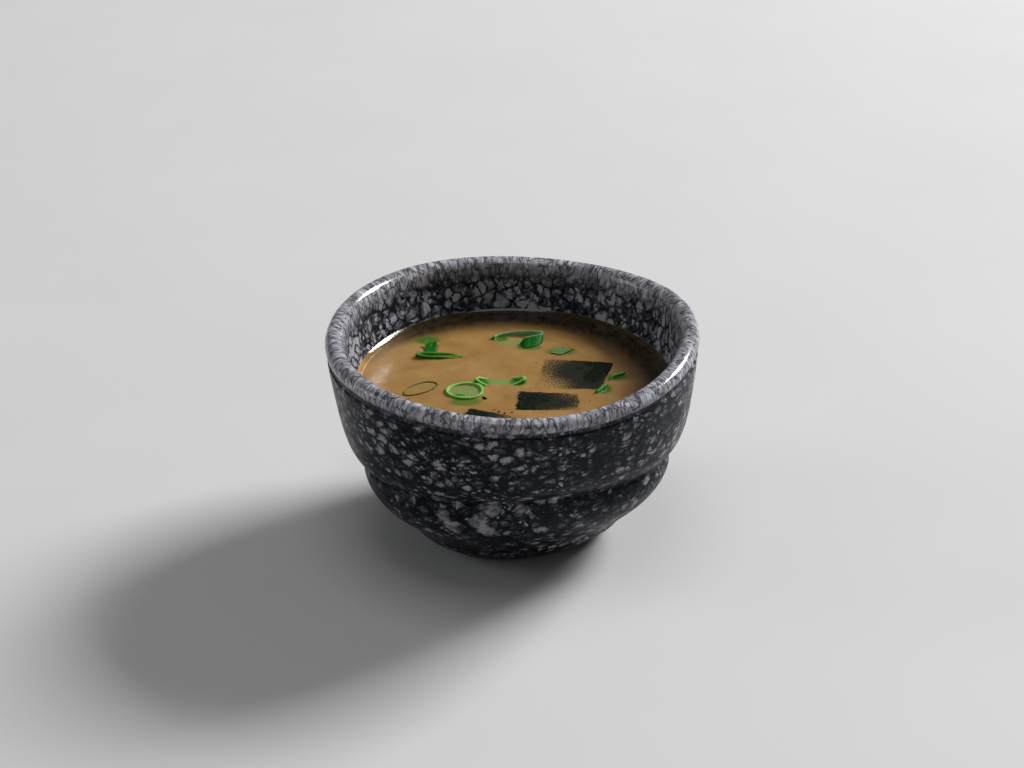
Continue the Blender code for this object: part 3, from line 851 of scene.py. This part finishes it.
def points_of(pieces, keep):
    """A search tree over the plan places of the pieces' vertices that pass a test."""
    found = [vert.co.copy() for piece in pieces for vert in piece.data.vertices if keep(vert)]
    tree = kdtree.KDTree(len(found))
    for i, point in enumerate(found):
        tree.insert(plan(point), i)
    tree.balance()
    return tree, found


CLIMBED = NORI_PIECES + CHIP_PIECES + [piece for piece in SLICE_PIECES if "hoop" not in piece.name]
WATERLINE = points_of(CLIMBED, lambda vert: abs(vert.co.z - SOUP_LEVEL) < 0.18 * MM)[0]
NORI_TOPS, NORI_PLACES = points_of(NORI_PIECES, lambda vert: vert.normal.z > 0.3)
SHEET_TOPS, SHEET_PLACES = points_of(NORI_PIECES + CHIP_PIECES, lambda vert: vert.normal.z > 0.3)
# node, offset from the middle of its box, half sizes, in millimetres; then strength
LEAF_STAINS = (
    ("scallion_ring", (0.2, -6.8), (5.6, 3.4), 0.78),
    ("scallion_ring", (-2.2, -2.4), (2.6, 0.9), 1.00),
    ("scallion_chip", (-1.2, 6.3), (4.8, 3.4), 0.92),
    ("scallion_left", (-1.6, 0.4), (5.4, 2.4), 0.95),
    ("scallion_left", (3.6, -0.6), (5.2, 1.2), 0.95),
    ("scallion_back", (-5.4, 2.6), (3.6, 2.6), 0.95),
    ("scallion_back", (4.2, -4.4), (4.6, 2.6), 0.75),
    ("scallion_leaf", (-0.2, 0.2), (5.8, 3.2), 0.80),
    ("scallion_band", (-5.6, -0.6), (2.6, 3.2), 1.00),
    ("scallion_band", (5.2, -0.4), (3.0, 3.2), 1.00),
    ("scallion_hoop", (1.6, 1.4), (3.4, 2.6), 0.16),
    ("scallion_strip", (2.2, 4.2), (3.6, 2.6), 0.90),
    ("scallion_strip", (-2.4, -3.8), (3.2, 4.0), 0.90))
FILMS = (
    ("scallion_ring", (0.0, 0.0), (5.2, 5.0), 1.0),
    ("scallion_band", (0.0, 0.0), (7.0, 2.4), 1.0),
    ("scallion_back", (0.0, -0.5), (7.0, 4.0), 0.6))


def placed(spots):
    """The spots with their middles in metres, worked out from the nodes' boxes."""
    result = []
    for node, offset, half, strength in spots:
        middle = (Vector(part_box(node)[0]) + Vector(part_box(node)[1])) / 2
        result.append((middle.x + offset[0] * MM, middle.y + offset[1] * MM, half, strength))
    return result


def stain(point, spots):
    """The strongest of several soft ovals at a place in plan."""
    most = 0.0
    for x, y, half, strength in spots:
        away = math.hypot((point.x - x) / half[0], (point.y - y) / half[1]) / MM
        most = max(most, strength * ease(away, 1.1, 0.55))
    return most


LEAF_SPOTS = placed(LEAF_STAINS)
FILM_SPOTS = placed(FILMS)


SIGHT_DEPTH = 0.95 * MM             # how far down the broth lets one see
HAZE_REACH = 2.8 * MM
CLIMB_HEIGHT = 0.16 * MM            # the broth climbs a floating piece by this much
CLIMB_REACH = 0.45 * MM
SHEET_DENT = 0.35 * MM              # and a floating sheet presses it down by this much
# the painted shadow and reflection of the wall: its direction, and its least and extra reach
WALL_SHADE_TOWARD = math.radians(58)
WALL_SHADE_LEAST = 5.0 * MM
WALL_SHADE_EXTRA = 14.0 * MM


def nori_shadow(point):
    """How dark the nori just under a place makes it."""
    _, index, gap = NORI_TOPS.find(plan(point))
    depth = max(0.0, SOUP_LEVEL - NORI_PLACES[index].z)
    haze = 0.24 * math.exp(-gap / HAZE_REACH)
    return max(haze, math.exp(-depth / SIGHT_DEPTH) * ease(gap, 1.2 * MM, 0.1 * MM))


def dent(point):
    """How far the surface of the soup moves at a place: up beside a piece, down under a sheet."""
    _, index, gap = SHEET_TOPS.find(plan(point))
    covered = ease(gap, 0.45 * MM, 0.2 * MM) * ease(SHEET_PLACES[index].z - SOUP_LEVEL, 0.0, 0.15 * MM)
    climb = CLIMB_HEIGHT * math.exp(-WATERLINE.find(plan(point))[2] / CLIMB_REACH)
    return climb * (1.0 - covered) - SHEET_DENT * covered


def wall_shade_at(point, gap):
    """How much painted shadow and reflection of the wall a place so far from the wall gets: most at the back
    and the right.
    """
    facing = math.cos(math.atan2(point.y, point.x) - WALL_SHADE_TOWARD)
    reach = WALL_SHADE_LEAST + WALL_SHADE_EXTRA * ease(facing, -0.35, 0.8)
    return ease(facing, -0.45, 0.35) * ease(gap, reach, reach * 0.34) * ease(gap, -0.3 * MM, 0.3 * MM)


# %% Make the soup
MENISCUS_REACH = 1.8 * MM
INTO_WALL = 0.05 * MM               # the soup reaches this far into the bowl's wall
WALL_LEAN = 0.34                    # how far the wall leans out for each millimetre up
HIGH_TOWARD = math.radians(143)
HIGH_WIDTH = math.radians(25)
HIGH_EXTRA = 0.32                   # the share that the climb grows by there
SOUP_SIDES = 420
SOUP_RINGS = 140
EDGE_RINGS = 30
EDGE_WIDTH = 6.0 * MM
INNER_LINE = smooth_line(INNER_WALL)


def wall_radius(height):
    """The inner wall's radius at one height of the round bowl."""
    for upper, lower in zip(INNER_LINE, INNER_LINE[1:]):
        if lower.z <= height <= upper.z:
            return upper.lerp(lower, (upper.z - height) / (upper.z - lower.z)).x
    return 0.0


def level_shape(point):
    """Fit a point of the soup into the uneven bowl. The surface stays level, the rest doesn't."""
    x, y, z = point
    if z < SOUP_LEVEL - 0.01 * MM:
        return hand_shape(point)
    angle = math.atan2(y, x)
    waist = waist_lift(angle)
    steepness = (rim_lift(angle) - waist) / (RIM_HEIGHT - WAIST_HEIGHT)
    source = (z - waist + steepness * WAIST_HEIGHT) / (1.0 + steepness)
    scale = wall_radius(source) / wall_radius(z)
    return hand_shape((x * scale, y * scale, source))


def high_edge(point):
    """Let the broth climb the wall further at the back left, where the bowl was tipped to pour it."""
    facing = math.atan2(point.y, point.x) - HIGH_TOWARD
    extra = (point.z - SOUP_LEVEL) * HIGH_EXTRA * math.exp(-(facing / HIGH_WIDTH) ** 2)
    outward = Vector((point.x, point.y, 0.0)).normalized()
    return point + outward * extra * WALL_LEAN + Vector((0.0, 0.0, extra))


def make_soup():
    top = SOUP_LEVEL + MENISCUS_RISE
    edge = wall_radius(top) + INTO_WALL
    line = [Vector(((edge - EDGE_WIDTH) * ring / SOUP_RINGS, 0.0, SOUP_LEVEL)) for ring in range(SOUP_RINGS)]
    for ring in range(EDGE_RINGS + 1):
        distance = EDGE_WIDTH * (1.0 - ring / EDGE_RINGS) ** 1.8
        climb = MENISCUS_RISE * max(0.0, 1.0 - distance / MENISCUS_REACH) ** 1.6
        line.append(Vector((edge - distance, 0.0, SOUP_LEVEL + climb)))
    line += [Vector((point.x + INTO_WALL if point.x else 0.0, 0.0, point.z))
             for point in INNER_LINE[::3] if point.z < SOUP_LEVEL - 1.0 * MM and point.x > 1.0 * MM]
    line.append(Vector((0.0, 0.0, INNER_WALL[-1][1] * MM)))
    bm = turn(line, SOUP_SIDES)
    nori = bm.verts.layers.float.new("nori_below")
    leaf = bm.verts.layers.float.new("leaf_below")
    film = bm.verts.layers.float.new("film")
    wall_shade = bm.verts.layers.float.new("painted_wall_shade")
    for vert in bm.verts:
        surface = vert.co.z > SOUP_LEVEL - 0.01 * MM
        gap = edge - math.hypot(vert.co.x, vert.co.y)
        if surface:
            vert.co = high_edge(vert.co)
        vert.co = level_shape(vert.co)
        if surface:
            vert[nori] = nori_shadow(vert.co)
            vert[leaf] = stain(vert.co, LEAF_SPOTS)
            vert[film] = stain(vert.co, FILM_SPOTS)
            # painted shadow and reflection of the wall
            vert[wall_shade] = wall_shade_at(vert.co, gap)
            vert.co.z += dent(vert.co)
    return add_piece("cloudy_soup", bm, SLOTS["soup"], BROTH, "soup")


make_soup()

# %% [markdown]
# ## Crumbs
#
# A few crumbs of nori float free. Each is a small ball, flattened and knocked out of round.

# %% Make the crumbs
CRUMBS = (                          # place in millimetres and size
    ((-8.1, -14.9), 0.75), ((-8.6, -13.9), 0.55), ((-2.3, -24.6), 0.55), ((-4.0, -23.6), 0.40),
    ((-0.2, -24.0), 0.35), ((-5.4, -22.2), 0.25), ((4.2, -5.2), 0.22), ((7.4, 9.8), 0.24),
    ((22.6, -17.2), 0.24), ((-19.4, 4.6), 0.20), ((-30.6, -14.2), 0.22), ((14.0, -30.0), 0.26))
random.seed(4)
bm = bmesh.new()
for (x, y), size in CRUMBS:
    ball = bmesh.ops.create_icosphere(bm, subdivisions=2, radius=size * MM)["verts"]
    for vert in ball:
        rough = 1.0 + 0.45 * noise.noise(vert.co / (0.5 * MM) + Vector((x, y, 0)))
        vert.co *= rough
    squash = Matrix.Diagonal((1.0, random.uniform(0.6, 0.9), 0.35))
    squash = Matrix.Rotation(random.uniform(0, 3), 3, "Z") @ squash
    bmesh.ops.transform(bm, matrix=squash.to_4x4(), verts=ball)
    bmesh.ops.translate(bm, vec=(x * MM, y * MM, SOUP_LEVEL + 0.06 * MM), verts=ball)
bmesh.ops.recalc_face_normals(bm, faces=bm.faces[:])
add_piece("nori_crumbs", bm, SLOTS["nori_front"], NORI)

# %% [markdown]
# ## Floor, light and camera
#
# A plain pale floor and soft lights, as in a studio. The key light is a panel at the right and
# behind. It stands low enough for the bowl's own wall to shade the right and the back of the
# soup, and it lights the left of the soup, the lip and the right flank. All panels stand far
# out, so the floor is evenly pale on every side. The front gets only what the room gives back,
# so the bowl stays moody there.

# %% Floor
FLOOR_REACH = 8.0                   # metres each way
floor_material, floor_tree, floor_shader, floor_here = new_material("pale_floor")
FLOOR_COLOUR = blend(floor_tree, cloud(floor_tree, floor_here, 90.0), grey(0.60), grey(0.64))
floor_tree.links.new(FLOOR_COLOUR, floor_shader.inputs["Base Color"])
floor_shader.inputs["Roughness"].default_value = 0.75
bm = bmesh.new()
bmesh.ops.create_grid(bm, x_segments=2, y_segments=2, size=FLOOR_REACH)
floor_mesh = bpy.data.meshes.new("floor")
bm.to_mesh(floor_mesh)
bm.free()
floor_mesh.materials.append(floor_material)
floor = bpy.data.objects.new("floor", floor_mesh)
bpy.context.scene.collection.objects.link(floor)
floor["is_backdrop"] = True

# %% Lights
def add_panel(name, place, target, size, power, tint=(1.0, 1.0, 1.0)):
    """A soft panel of light that faces a point."""
    light = bpy.data.lights.new(name, "AREA")
    light.shape = "RECTANGLE"
    light.size, light.size_y = size
    light.energy = power
    light.color = tint
    panel = bpy.data.objects.new(name, light)
    aim = (Vector(target) - Vector(place)).to_track_quat("-Z", "Y")
    panel.matrix_world = Matrix.Translation(place) @ aim.to_matrix().to_4x4()
    bpy.context.scene.collection.objects.link(panel)


MIDDLE = (CAD_LOW + CAD_HIGH) / 2
add_panel("key", (3.20, 2.32, 2.56), MIDDLE, (1.68, 1.44), 300.0)
add_panel("overhead", (-0.12, -0.25, 3.00), MIDDLE, (1.50, 1.50), 16.0)
add_panel("side", (-3.84, 0.32, 1.28), MIDDLE, (1.40, 2.00), 26.0, (0.93, 0.96, 1.0))
world = bpy.data.worlds.new("studio")
world.use_nodes = True
world.node_tree.nodes["Background"].inputs["Color"].default_value = grey(0.5)
world.node_tree.nodes["Background"].inputs["Strength"].default_value = 0.20
bpy.context.scene.world = world
bpy.context.scene.view_settings.view_transform = "Standard"

# %% Camera
CAMERA_TILT = math.radians(25.588)  # how far it looks down
CAMERA_ROLL = math.radians(-0.767)
CAMERA_PLACE = Vector((-0.00012, -0.49606, 0.28424))
CAMERA_LENS = 64.147
camera_data = bpy.data.cameras.new("camera")
camera_data.lens = CAMERA_LENS
camera_data.sensor_width = 36.0
camera_data.clip_start = 0.01
camera = bpy.data.objects.new("camera", camera_data)
turned = Matrix.Rotation(math.radians(90) - CAMERA_TILT, 4, "X") @ Matrix.Rotation(CAMERA_ROLL, 4, "Z")
camera.matrix_world = Matrix.Translation(CAMERA_PLACE) @ turned
bpy.context.scene.collection.objects.link(camera)
bpy.context.scene.camera = camera

# %% [markdown]
# ## Sizes and finish
#
# The finished pieces must stay inside the imported model's box, so both boxes are gathered in one
# table. The last line prints the finished size.

# %% Sizes and finish
low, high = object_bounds()
sizes = {
    "cad": [list(CAD_LOW), list(CAD_HIGH)],
    "visual": [list(low), list(high)],
}
print("the finished bowl is", [round((b - a) / MM, 1) for a, b in zip(low, high)], "mm")
